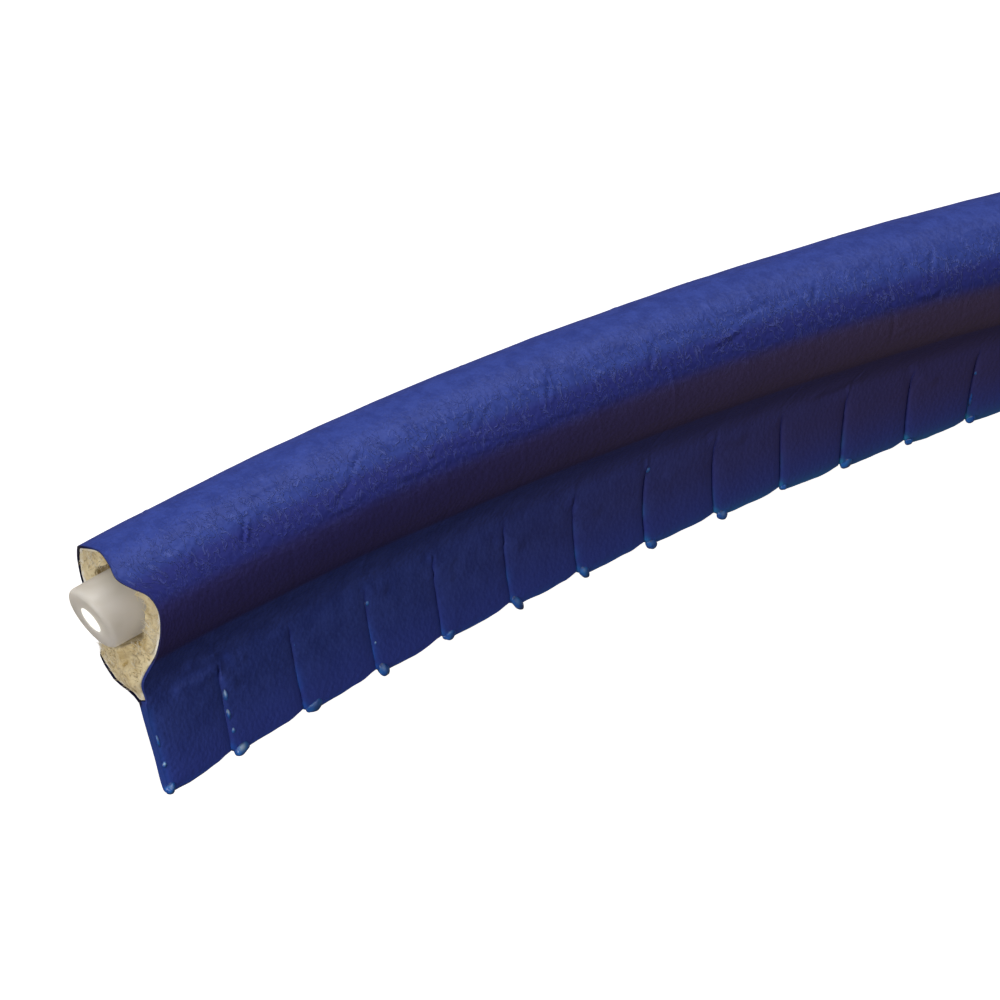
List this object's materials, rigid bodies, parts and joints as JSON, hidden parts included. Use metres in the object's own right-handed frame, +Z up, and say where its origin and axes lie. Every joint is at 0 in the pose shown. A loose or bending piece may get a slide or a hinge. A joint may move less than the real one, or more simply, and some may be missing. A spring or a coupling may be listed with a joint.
{
  "type": "piping trim",
  "caption": "Short cut length of piping trim for upholstery edges: leathercloth round a hollow plastic tube, with a slit flange to sew into a seam.",
  "frame": {"origin": "on the surface it lies on, under the middle of its bounding box", "axes": "+X along the length, from the cut end that shows the tube; +Y away from the flange; +Z up"},
  "size_m": [0.1032, 0.0222, 0.0093],
  "materials": {
    "leathercloth": "semi-gloss vinyl with a fine leather grain",
    "knit": "matt fuzzy knit",
    "tube": "milky translucent plastic"
  },
  "bodies": {
    "root": {"cover_skin": "leathercloth", "knit_backing": "knit", "core_tube": "tube"}
  },
  "joints": []
}
